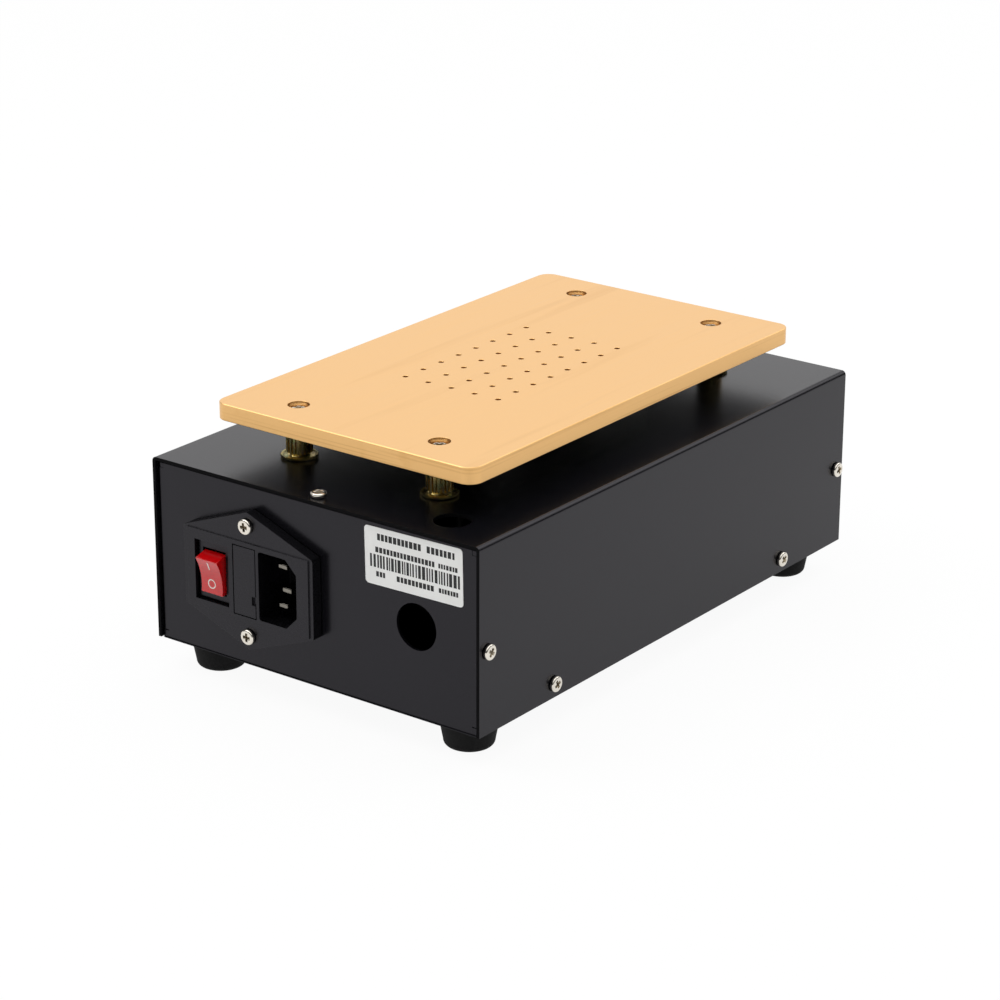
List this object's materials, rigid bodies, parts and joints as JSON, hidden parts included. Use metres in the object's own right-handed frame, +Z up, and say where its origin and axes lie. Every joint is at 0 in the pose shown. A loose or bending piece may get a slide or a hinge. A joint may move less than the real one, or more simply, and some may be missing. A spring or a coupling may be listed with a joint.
{
  "type": "lcd separator machine",
  "caption": "Benchtop machine with a heated vacuum plate on knurled spacers above a sheet-metal case, for parting a phone screen from its frame.",
  "frame": {"origin": "on the bench, under the middle of the machine's bounding box", "axes": "+Z up; +Y to the rear end with the mains inlet; -Y to the control end; +X to the left as one faces the rear panel"},
  "size_m": [0.1424, 0.2324, 0.0957],
  "materials": {
    "powder_coat": "satin black powder coat",
    "gold_anodised": "brushed and gold anodised",
    "nickel": "bright nickel plate",
    "yellow_zinc": "yellow zinc plate with green and violet tints",
    "foot_rubber": "matte black",
    "grommet_rubber": "matte black",
    "inlet_plastic": "fine satin black",
    "red_rocker": "translucent red, glossy",
    "fuse_glass": "clear glass with bright caps",
    "label_film": "white printed film",
    "controller_plastic": "fine satin black",
    "window": "dark red, glossy",
    "button_plastic": "satin grey",
    "switch_plastic": "satin black",
    "black_rocker": "smooth black",
    "silicone": "black silicone sheet",
    "pan_steel": "plain pressed steel",
    "hose": "milky clear silicone",
    "pump_plastic": "moulded black",
    "motor_steel": "plated steel can",
    "rod_plastic": "pale moulded plastic",
    "board": "green solder mask",
    "iron_core": "varnished laminations",
    "lead_sleeve": "white woven sleeve",
    "probe_steel": "steel braid",
    "mains_sheath": "black sheath"
  },
  "bodies": {
    "machine": {"top_cover": "powder_coat", "base_tray": "powder_coat", "heating_plate": "gold_anodised", "side_screw_rear_left": "nickel", "side_screw_rear_right": "nickel", "side_screw_front_left": "nickel", "side_screw_front_right": "nickel", "low_screw_rear_left": "nickel", "low_screw_rear_right": "nickel", "low_screw_front_left": "nickel", "low_screw_front_right": "nickel", "plate_screw_rear_left": "nickel", "plate_screw_rear_right": "nickel", "plate_screw_front_left": "nickel", "plate_screw_front_right": "nickel", "top_screw_rear": "nickel", "top_screw_front": "nickel", "inlet_screw_top": "nickel", "inlet_screw_bottom": "nickel", "inlet_pin_live": "nickel", "inlet_pin_earth": "nickel", "inlet_pin_neutral": "nickel", "spacer_rear_left": "yellow_zinc", "spacer_rear_right": "yellow_zinc", "spacer_front_left": "yellow_zinc", "spacer_front_right": "yellow_zinc", "foot_rear_left": "foot_rubber", "foot_rear_right": "foot_rubber", "foot_front_left": "foot_rubber", "foot_front_right": "foot_rubber", "hose_grommet": "grommet_rubber", "lead_grommet": "grommet_rubber", "inlet_housing": "inlet_plastic", "mains_switch_body": "inlet_plastic", "rating_label": "label_film", "controller_case": "controller_plastic", "display_window": "window", "heater_switch_body": "switch_plastic", "pump_switch_body": "switch_plastic", "heater_pad": "silicone", "vacuum_pan": "pan_steel", "vacuum_hose": "hose", "pump_crankcase": "pump_plastic", "pump_valve_head": "pump_plastic", "pump_motor": "motor_steel", "pump_rod": "rod_plastic", "power_board": "board", "transformer": "iron_core", "heater_lead": "lead_sleeve", "temperature_probe": "probe_steel", "mains_lead": "mains_sheath"},
    "mains_rocker": {"mains_rocker": "red_rocker"},
    "fuse_drawer": {"fuse_drawer": "inlet_plastic", "fuse": "fuse_glass"},
    "heater_rocker": {"heater_rocker": "black_rocker"},
    "pump_rocker": {"pump_rocker": "black_rocker"},
    "button_up": {"button_up": "button_plastic"},
    "button_set": {"button_set": "button_plastic"},
    "button_down": {"button_down": "button_plastic"},
    "pump_shaft": {"pump_shaft": "motor_steel"}
  },
  "joints": [
    {"name": "mains_press", "type": "hinge", "parent": "machine", "child": "mains_rocker", "pos_m": [0.0406, 0.1096, 0.043], "axis": [1, 0, 0], "range_deg": [0, 23.4]},
    {"name": "heater_press", "type": "hinge", "parent": "machine", "child": "heater_rocker", "pos_m": [0.0289, -0.1096, 0.0443], "axis": [-1, 0, 0], "range_deg": [0, 23.4]},
    {"name": "pump_press", "type": "hinge", "parent": "machine", "child": "pump_rocker", "pos_m": [0.04975, -0.1096, 0.0443], "axis": [-1, 0, 0], "range_deg": [0, 23.4]},
    {"name": "fuse_drawer_pull", "type": "slide", "parent": "machine", "child": "fuse_drawer", "axis": [0, 1, 0], "range_m": [0, 0.012]},
    {"name": "button_up_press", "type": "slide", "parent": "machine", "child": "button_up", "axis": [0, 1, 0], "range_m": [0, 0.0007], "stiffness_N_per_m": 400, "springref_m": -0.0005},
    {"name": "button_set_press", "type": "slide", "parent": "machine", "child": "button_set", "axis": [0, 1, 0], "range_m": [0, 0.0007], "stiffness_N_per_m": 400, "springref_m": -0.0005},
    {"name": "button_down_press", "type": "slide", "parent": "machine", "child": "button_down", "axis": [0, 1, 0], "range_m": [0, 0.0007], "stiffness_N_per_m": 400, "springref_m": -0.0005},
    {"name": "pump_shaft_turn", "type": "hinge", "parent": "machine", "child": "pump_shaft", "pos_m": [0.034, -0.0157, 0.0307], "axis": [0, 1, 0], "continuous": true}
  ]
}
